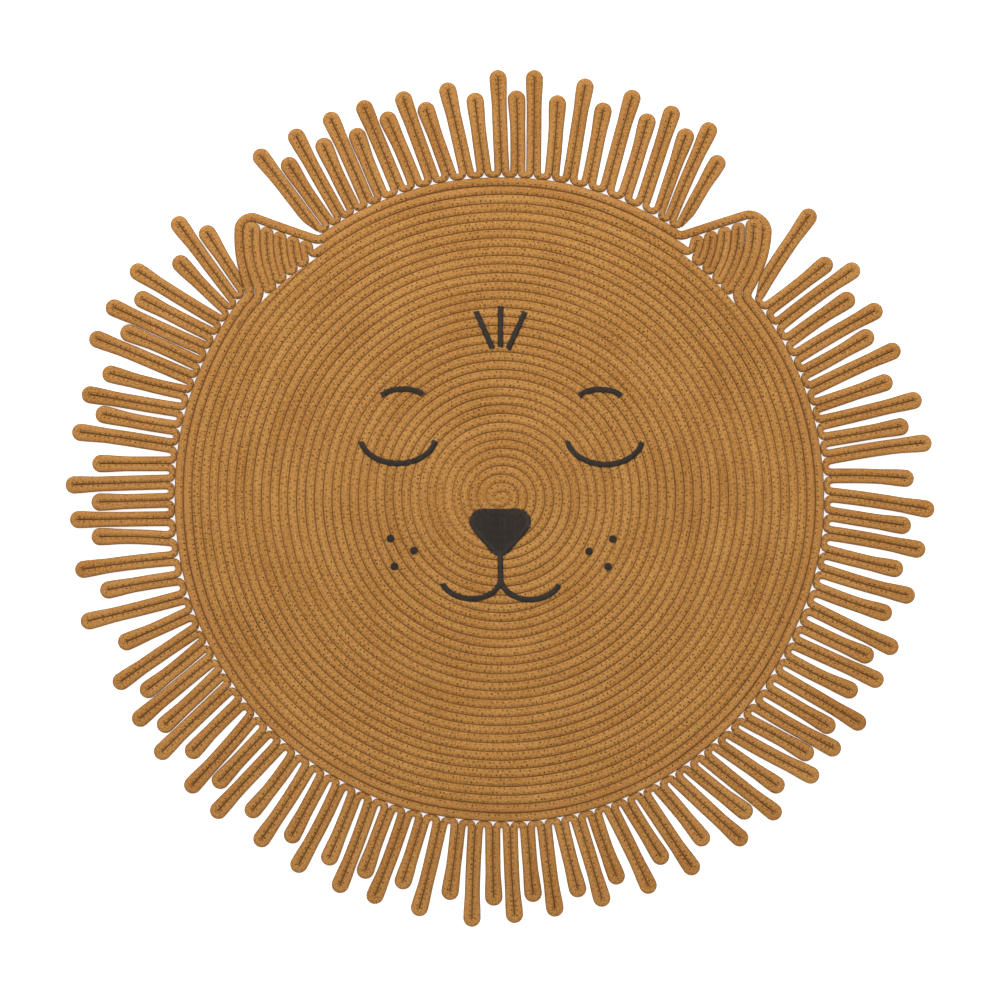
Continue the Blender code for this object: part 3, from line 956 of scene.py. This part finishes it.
def strand_runs(strand, bow, foot_right, foot_left, end_side):
    """A strand's path: up its right run, round the tip and down its left run. The runs
    are close together below the tip and part a little under it. Where the cord ends on one
    side, that run tapers toward its foot and stays against the other."""
    length = (strand.tip - strand.root).length

    def place(up, side):
        below_tip = smooth_step(0, TIP_SWELL, length - up)
        full = strand.shaft(up)
        run = TIP_RUN + (SHAFT_RUN * full - TIP_RUN) * below_tip
        half = TIP_HALF + (SHAFT_HALF * full - TIP_HALF) * below_tip
        if side == end_side:
            foot = ((foot_right if side < 0 else foot_left) - strand.root).dot(strand.way)
            left_of_it = smooth_step(-CORD_END_TAPER / 3, CORD_END_TAPER, up - foot)
            run, half = run * left_of_it, half * left_of_it
        bowed_by = bow * math.sin(math.pi * min(1.0, max(0.0, up / length)))
        middle = strand.root + strand.way * up + strand.left * bowed_by
        return middle + strand.left * side * run, half

    def run_up(foot, side):
        start = (foot - strand.root).dot(strand.way)
        parts = math.ceil((length - start) / RING_SPACING)
        return [place(start + (length - start) * n / parts, side) for n in range(parts + 1)]

    tip = bend(
        strand.tip, -strand.left * TIP_RUN, strand.way * TIP_RUN, TIP_ARC_POINTS
    )
    path = run_up(foot_right, -1)[:-1]
    path += [(spot, TIP_HALF) for spot in tip]
    path += run_up(foot_left, 1)[-2::-1]
    return path


def mane_path(strands, seed):
    """A cord's path, counterclockwise: out along one run of each strand, round its tip and
    back, and round a squarish bend that is pressed against the rim, to the next strand."""
    uneven = random.Random(seed)
    path = []
    for number, strand in enumerate(strands):
        feet, end_side = [], 0
        for side, beside in ((-1, number - 1), (1, number + 1)):
            line = strand.root + strand.left * side * SHAFT_RUN * strand.shaft(0)
            if 0 <= beside < len(strands):
                other = strands[beside]
                middle_deg = (strand.root_deg + other.root_deg) / 2
                spacing = (strand.root - other.root).length
                runs = SHAFT_RUN * (strand.shaft(0) + other.shaft(0))
                foot = rim_radius(middle_deg) + BEND_GAP + BEND_HALF + (spacing - runs) / 2
            else:
                foot = rim_radius(strand.root_deg) + CORD_END_RISE
                end_side = side
            feet.append(meet_circle(line, strand.way, foot))
        bow = uneven.uniform(-1, 1) * STRAND_BOW
        runs = strand_runs(strand, bow, *feet, end_side)
        if path:
            last, half = path[-1]
            centre = (last + runs[0][0]) / 2
            down = -centre.normalized() * (last - centre).length
            across = bend(centre, last - centre, down, BEND_ARC_POINTS, BEND_SQUARENESS)
            for number_in, place in enumerate(across[1:-1], 1):
                angle = math.pi * number_in / (BEND_ARC_POINTS - 1)
                pressed = (BEND_HALF - half) * math.sin(angle) ** 4
                turned = BEND_CORNER_HALF * math.sin(2 * angle) ** 2
                path.append((place, half + pressed + turned))
        path += runs
    return [(hand_laid(place), half) for place, half in path]


round_strands = mane_strands(ROOTS_ROUND, LEAN_ROUND, REACH_ROUND, seed=4)
top_strands = mane_strands(ROOTS_TOP, LEAN_TOP, REACH_TOP, seed=9)
mane_round = lay_cord("mane_loops_round", mane_path(round_strands, 5), 0.0, cotton, seed=4)
mane_top = lay_cord("mane_loops_top", mane_path(top_strands, 6), 0.0, cotton, seed=5)
for piece, node in ((mane_round, "mane_round"), (mane_top, "mane_top")):
    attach(piece, "root")
    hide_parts(node)


# --- Face ---
# A plain smiling face, embroidered through the coil in black cotton thread: satin stitch,
# thread beside thread across each line, and longer stitches that fill the nose.

THREAD_HALF = 0.00032
THREAD_STEP = 0.0005
THREAD_SLANT = 0.0008
THREAD_HIGH = CORD_HIGH + 0.00035
STITCH_SUNK = 0.0004  # a stitch's ends are this much lower than its middle
GROOVE_DIP = 0.0003  # the threads sink this far in over a groove
DIP_OVER = (0.0030, 0.0050)  # from a turn's middle: where they start to sink, and the groove
LINE_HALF = 0.0031
LINE_UNEVEN = 0.00035
SATIN_KNOTS = ((-1, 1.0), (-0.6, 0.2), (0, 0.0), (0.6, 0.2), (1, 1.0))  # across, sunk
FILL_STITCH = 0.0085
FILL_KNOTS = ((0, 0.6), (0.3, 0.1), (0.7, 0.1))  # along a stitch, sunk
FILL_STAGGER = 0.37  # each row's first stitch is longer by this share than the last row's
FILL_FIRST = 0.25  # until it would be whole, when it starts again from this share
FILL_UNEVEN = 0.1
LEAST_STITCH = 0.002
LINE_STEP = 0.002
EYE = ((0.118, 0.070), 0.043, 0.031, 190, 350)  # middle, half width, depth, from, to deg
BROW = ((0.113, 0.112), 0.026, 0.012, 155, 25)
CHEEK = ((0.034, -0.092), 0.034, 0.024, 180, 345)
NOSE = (((0.044, -0.016), 0.012), ((0.0, -0.070), 0.010), ((-0.044, -0.016), 0.012))
MOUTH_TOP = -0.060
MOUTH_FORK = -0.092
WHISKER_SPOTS = ((0.100, -0.060), (0.127, -0.046), (0.122, -0.078))
WHISKER_HALF = 0.0044
TUFT_MIDDLE = (0.0, 0.150)
TUFT_REACH = (0.022, 0.068)
TUFT_FAN_DEG = 24
LINT_PER_METRE = 900.0  # specks some 1.1 mm across, coarser than real, so they show
FADED_PER_METRE = 25.0  # duller patches some 4 cm across

THREAD_TONE = -0.55  # from black, at 0, to worn, at 1, before the patterns are added
THREAD_BLACK = "1B1511"
THREAD_WORN = "3A3027"


def curved_line(centre, wide, deep, start_deg, end_deg):
    """Places along an ellipse's arc, no more than LINE_STEP apart."""
    parts = math.ceil(math.radians(abs(end_deg - start_deg)) * max(wide, deep) / LINE_STEP)
    angles = [start_deg + (end_deg - start_deg) * n / parts for n in range(parts + 1)]
    return [
        Vector(centre) + Vector((wide * math.cos(a), deep * math.sin(a)))
        for a in map(math.radians, angles)
    ]


def mirrored(line):
    return [Vector((-place.x, place.y)) for place in line]


def thread_at(place, sunk):
    """A thread's point over this place on the coil, sunk by a share of the stitch's fall."""
    turn = place.length / PITCH + (angle_of(place) - COIL_END_DEG) % 360 / 360
    from_ridge = abs(turn - round(turn)) * PITCH
    dip = GROOVE_DIP * smooth_step(*DIP_OVER, from_ridge)
    return (*hand_laid(place), THREAD_HIGH - dip - STITCH_SUNK * sunk)


def satin(line, uneven):
    """Threads across a line, from one of its edges to the other and back."""
    knots, since, side = [], 0.0, 1
    for before, after in zip(line, line[1:]):
        length = (after - before).length
        way = (after - before) / length
        across = Vector((-way.y, way.x))
        while since <= length:
            middle = before + way * since
            reach = LINE_HALF + uneven.uniform(-1, 1) * LINE_UNEVEN
            for share, sunk in SATIN_KNOTS:
                place = middle + across * reach * share * side
                knots.append(thread_at(place + way * THREAD_SLANT * share * side, sunk))
            side = -side
            since += THREAD_STEP
        since -= length
    return knots


def span_at(outline, x):
    """The lowest and the highest y of a closed outline at this x."""
    crossings = []
    for one, other in zip(outline, outline[1:] + outline[:1]):
        if (one.x - x) * (other.x - x) < 0:
            share = (x - one.x) / (other.x - one.x)
            crossings.append(one.y + (other.y - one.y) * share)
    return (min(crossings), max(crossings)) if crossings else None


def filled(outline, uneven):
    """Rows of stitches up and down inside an outline, each row out of step with the last."""
    knots, row, up = [], 0, True
    x = min(place.x for place in outline) + THREAD_STEP
    while x < max(place.x for place in outline):
        span = span_at(outline, x)
        if span and span[1] - span[0] > LEAST_STITCH:
            low, high = span
            stops = [low, high]
            first = FILL_FIRST + row * FILL_STAGGER % (1 - FILL_FIRST)
            y = low + FILL_STITCH * (first + uneven.uniform(0, FILL_UNEVEN))
            while y < high - LEAST_STITCH:
                stops.insert(-1, y)
                y += FILL_STITCH
            places = []
            for start, end in zip(stops, stops[1:]):
                places += [(start + (end - start) * at, sunk) for at, sunk in FILL_KNOTS]
            places.append((high, FILL_KNOTS[0][1]))
            for y, sunk in places if up else places[::-1]:
                knots.append(thread_at(Vector((x, y)), sunk))
            up = not up
        row += 1
        x += THREAD_STEP
    return knots


def sewing_thread():
    """Mercerised cotton thread, dyed black. It is smooth and a little glossy along each
    stitch, so that the edges of the satin stitch glint and the rest stays dark."""
    material = bpy.data.materials.new("black_embroidery_thread")
    material.use_nodes = True
    tree = material.node_tree
    shader = tree.nodes["Principled BSDF"]
    place = add_node(tree, "TexCoord").node.outputs["Object"]
    lint = add_node(
        tree, "TexNoise", {"Vector": place, "Scale": LINT_PER_METRE, "Detail": 2.0}
    )
    faded = add_node(
        tree, "TexNoise", {"Vector": place, "Scale": FADED_PER_METRE, "Detail": 2.0}
    )
    tone = THREAD_TONE
    for pattern, contrast in ((faded, 0.5), (lint, 1.6)):
        tone = add_node(
            tree, "Math", {0: pattern, 1: contrast, 2: tone}, operation="MULTIPLY_ADD"
        )
    colour = add_node(
        tree,
        "Mix",
        {0: tone, 6: from_hex(THREAD_BLACK), 7: from_hex(THREAD_WORN)},
        data_type="RGBA",
    )
    tree.links.new(colour, shader.inputs["Base Color"])
    rough = add_node(tree, "Math", {0: lint, 1: 0.2, 2: 0.42}, operation="MULTIPLY_ADD")
    tree.links.new(rough, shader.inputs["Roughness"])
    shader.inputs["Specular IOR Level"].default_value = 0.35
    return material


def sew_face(name, material, seed):
    uneven = random.Random(seed)
    eye, brow, cheek = (curved_line(*shape) for shape in (EYE, BROW, CHEEK))
    corners = [(Vector(corner), 0, radius) for corner, radius in NOSE]
    top = (Vector((0, NOSE[0][0][1])), 0, 0)
    nose = [place for place, _ in rounded([top, *corners, top])]
    stem = [Vector((0, MOUTH_TOP)), Vector((0, MOUTH_FORK - LINE_HALF))]
    tuft = [
        [Vector(TUFT_MIDDLE) + polar(90 + fan, reach) for reach in TUFT_REACH]
        for fan in (-TUFT_FAN_DEG, 0, TUFT_FAN_DEG)
    ]
    lines = [eye, mirrored(eye), brow, mirrored(brow), cheek, mirrored(cheek), stem, *tuft]
    runs = [filled(nose, uneven)] + [satin(line, uneven) for line in [*lines, nose]]
    for x, y in WHISKER_SPOTS:
        for centre in (Vector((x, y)), Vector((-x, y))):
            spot = curved_line(centre, WHISKER_HALF, WHISKER_HALF, 0, 360)
            runs.append(filled(spot, uneven))
    curve = bpy.data.curves.new(name, "CURVE")
    curve.dimensions = "3D"
    curve.bevel_depth = THREAD_HALF
    curve.bevel_resolution = 0
    curve.use_fill_caps = True
    for knots in runs:
        spline = curve.splines.new("POLY")
        spline.points.add(len(knots) - 1)
        for knot, place in zip(spline.points, knots):
            knot.co = (*place, 1)
    mesh = mesh_of(curve, material)
    for face in mesh.polygons:
        face.use_smooth = True
    return put_down(name, mesh)


face = sew_face("embroidered_face", sewing_thread(), seed=7)
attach(face, "root")


# --- Floor, light and camera ---
# A white floor that runs out of view, a camera straight above the rug, and two large soft
# lights above the ears, so that the sides of the cords that face away are a little darker.

FLOOR_HALF = 6.0
FLOOR_BELOW = 0.0002  # clear of the cords' flat feet
FLOOR_GLOW = 0.65
ROOM_GLOW = 0.54
CAMERA_AT = (-0.00126, -0.00217)
VIEW_WIDE = 1.143  # what the picture's 1000 pixels cover at the rug's height
LENS_MM = 120.0
SENSOR_MM = 36.0

floor_mesh = bpy.data.meshes.new("floor")
work = bmesh.new()
bmesh.ops.create_grid(work, x_segments=1, y_segments=1, size=FLOOR_HALF)
bmesh.ops.translate(work, verts=work.verts, vec=(0, 0, -FLOOR_BELOW))
work.to_mesh(floor_mesh)
work.free()
acrylic = bpy.data.materials.new("opal_acrylic_light_table")  # white between the cords too
acrylic.use_nodes = True
acrylic_shader = acrylic.node_tree.nodes["Principled BSDF"]
acrylic_shader.inputs["Base Color"].default_value = from_hex("F6F6F6")
acrylic_shader.inputs["Roughness"].default_value = 0.8
acrylic_shader.inputs["Emission Color"].default_value = from_hex("FFFFFF")
acrylic_shader.inputs["Emission Strength"].default_value = FLOOR_GLOW
floor_mesh.materials.append(acrylic)
floor = put_down("floor", floor_mesh)

for name, place, size, power in (
    ("overhead_softbox", (-0.3, 1.2, 2.4), 2.8, 55.0),
    ("key_softbox", (0.3, 2.6, 1.9), 1.8, 25.0),
):
    light = bpy.data.lights.new(name, "AREA")
    light.size = size
    light.energy = power
    lamp = bpy.data.objects.new(name, light)
    lamp.location = place
    lamp.rotation_euler = (-Vector(place)).to_track_quat("-Z", "Y").to_euler()
    bpy.context.scene.collection.objects.link(lamp)

world = bpy.data.worlds.new("studio")
world.use_nodes = True
background = world.node_tree.nodes["Background"]
background.inputs["Color"].default_value = from_hex("FFFFFF")
background.inputs["Strength"].default_value = ROOM_GLOW
bpy.context.scene.world = world
bpy.context.scene.view_settings.view_transform = "Standard"

lens = bpy.data.cameras.new("camera")
lens.lens = LENS_MM
lens.sensor_width = SENSOR_MM
camera = bpy.data.objects.new("camera", lens)
camera.location = (*CAMERA_AT, VIEW_WIDE * LENS_MM / SENSOR_MM + CORD_HIGH / 2)
bpy.context.scene.collection.objects.link(camera)
bpy.context.scene.camera = camera
